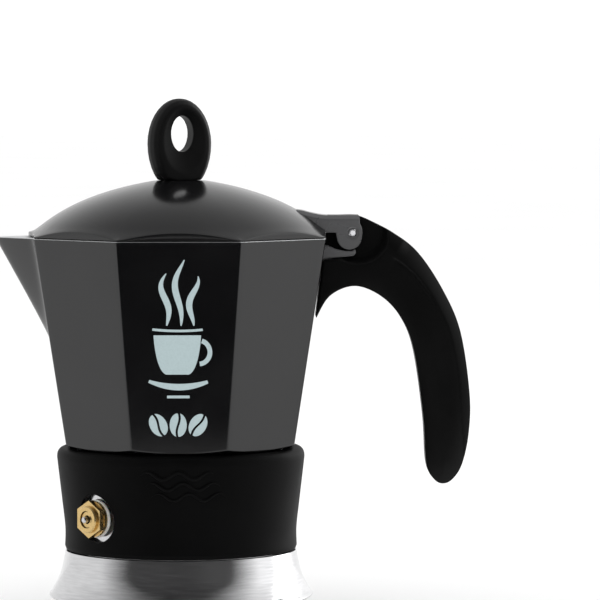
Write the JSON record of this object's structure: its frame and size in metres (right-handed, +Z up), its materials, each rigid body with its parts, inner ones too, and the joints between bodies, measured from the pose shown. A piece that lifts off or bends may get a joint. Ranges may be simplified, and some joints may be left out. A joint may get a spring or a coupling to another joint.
{
  "type": "stovetop moka pot",
  "caption": "Stovetop coffee maker: a boiler that screws to an octagonal collector, with a ring knob on a hinged domed lid and a curved side handle.",
  "frame": {"origin": "on the pot's vertical axis, at the flat underside that rests on the hob", "axes": "+Z up along the pot's axis, +X towards the handle and the lid's hinge, -X towards the spout, -Y towards the viewer of the front facet"},
  "size_m": [0.1791, 0.1076, 0.194],
  "materials": {
    "black_gloss": "gloss black paint on cast aluminium",
    "phenolic": "fine matte moulded plastic",
    "soft_touch": "satin soft-touch band",
    "steel": "polished stainless steel",
    "aluminium": "satin",
    "brass": "turned",
    "silicone": "matte"
  },
  "bodies": {
    "boiler": {"boiler_shell": "steel", "heat_spreader": "aluminium", "base_cap": "steel", "grip_sleeve": "soft_touch", "valve_body": "brass", "valve_seal": "silicone", "valve_nut": "brass", "valve_cap": "brass", "valve_spring": "steel", "funnel": "aluminium", "basket_sieve": "aluminium"},
    "valve_stem": {"valve_piston": "steel"},
    "seal_pack": {"gasket": "silicone", "filter_plate": "aluminium"},
    "upper_pot": {"collector": "black_gloss", "coffee_column": "aluminium", "handle": "phenolic", "handle_screw": "steel", "hinge_pin": "steel"},
    "lid_group": {"lid": "black_gloss", "knob": "phenolic", "knob_screw": "steel"}
  },
  "joints": [
    {"name": "valve_lift", "type": "slide", "parent": "boiler", "child": "valve_stem", "axis": [-0.7071, -0.7071, 0], "range_m": [0, 0.0012], "stiffness_N_per_m": 1500, "springref_m": -0.0008, "deforming": ["valve_spring"]},
    {"name": "collector_rise", "type": "slide", "parent": "boiler", "child": "seal_pack", "axis": [0, 0, 1], "range_m": [0, 0.00451]},
    {"name": "collector_turn", "type": "hinge", "parent": "seal_pack", "child": "upper_pot", "pos_m": [0, 0, 0.066], "axis": [0, 0, 1], "range_deg": [0, 540]},
    {"name": "lid_swing", "type": "hinge", "parent": "upper_pot", "child": "lid_group", "pos_m": [0.0641, 0, 0.144], "axis": [0, 1, 0], "range_deg": [0, 110]}
  ],
  "couplings": [
    {"joint": "collector_rise", "follows": "collector_turn", "m_per_rad": 0.00047746}
  ]
}
